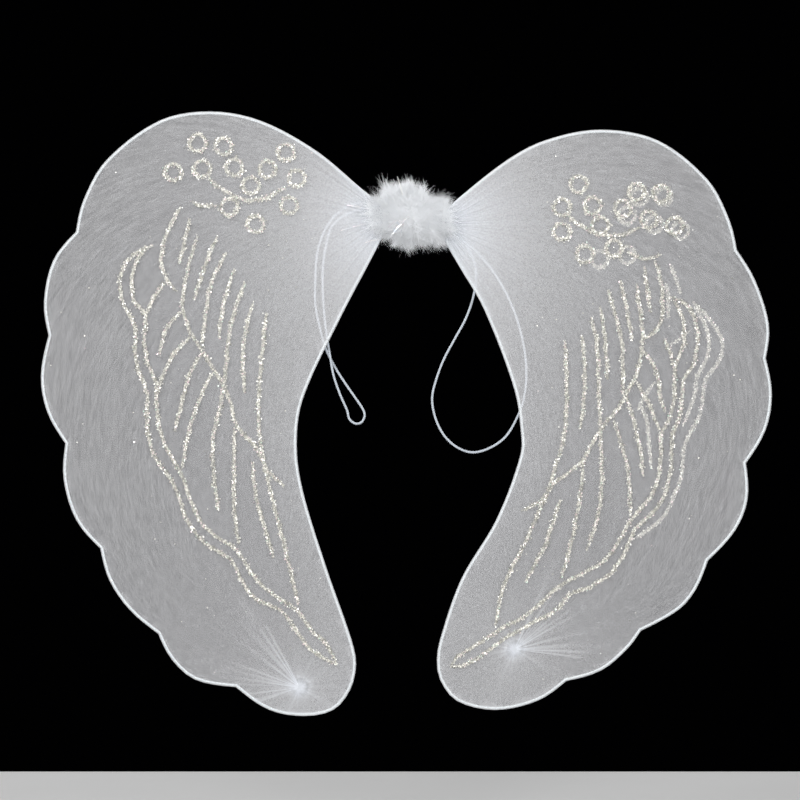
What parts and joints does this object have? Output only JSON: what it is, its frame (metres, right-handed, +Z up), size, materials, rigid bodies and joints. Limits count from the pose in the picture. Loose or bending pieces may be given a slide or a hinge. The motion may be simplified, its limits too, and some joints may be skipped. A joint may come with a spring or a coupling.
{
  "type": "fairy wings",
  "caption": "Costume fairy wings: scalloped wire loops in sheer white nylon with silver glitter feather lines, a marabou down hub and elastic arm loops.",
  "frame": {"origin": "middle of the hub, between the two wings", "axes": "+X runs across the wings to the right as seen from the decorated face, +Z up as worn, -Y faces away from the wearer's back"},
  "size_m": [0.48, 0.046, 0.397],
  "materials": {
    "coated_wire": "satin",
    "nylon": "sheer knit",
    "gathered_nylon": "bunched sheer knit",
    "glitter": "glitter glue",
    "elastic": "braided cord",
    "thread": "twisted thread",
    "tape": "matte",
    "binding_wire": "drawn",
    "down": "marabou down"
  },
  "bodies": {
    "hub": {"left_wire_tails": "coated_wire", "right_wire_tails": "coated_wire", "splice_binding": "binding_wire", "centre_tape": "tape", "boa_core_cord": "thread", "feather_boa": "down", "left_elastic_knot": "elastic", "right_elastic_knot": "elastic"},
    "left_wing": {"left_wing_wire": "coated_wire", "left_nylon_stocking": "nylon", "left_neck_binding": "thread", "left_toe_knot": "gathered_nylon", "left_toe_thread": "thread", "left_glitter_feathers": "glitter", "left_glitter_berries": "glitter"},
    "right_wing": {"right_wing_wire": "coated_wire", "right_nylon_stocking": "nylon", "right_neck_binding": "thread", "right_toe_knot": "gathered_nylon", "right_toe_thread": "thread", "right_glitter_feathers": "glitter", "right_glitter_berries": "glitter", "right_glitter_back": "glitter"},
    "left_strap": {"left_arm_loop": "elastic"},
    "right_strap": {"right_arm_loop": "elastic"}
  },
  "joints": [
    {"name": "left_wing_fold", "type": "hinge", "parent": "hub", "child": "left_wing", "pos_m": [-0.017, 0, 0], "axis": [0, 0, 1], "range_deg": [0, 85]},
    {"name": "right_wing_fold", "type": "hinge", "parent": "hub", "child": "right_wing", "pos_m": [0.017, 0, 0], "axis": [0, 0, -1], "range_deg": [0, 85]},
    {"name": "left_loop_lift", "type": "hinge", "parent": "hub", "child": "left_strap", "pos_m": [-0.018, 0.005, 0.012], "axis": [1, 0, 0], "range_deg": [0, 90]},
    {"name": "right_loop_lift", "type": "hinge", "parent": "hub", "child": "right_strap", "pos_m": [0.018, 0.005, -0.002], "axis": [1, 0, 0], "range_deg": [0, 90]}
  ]
}
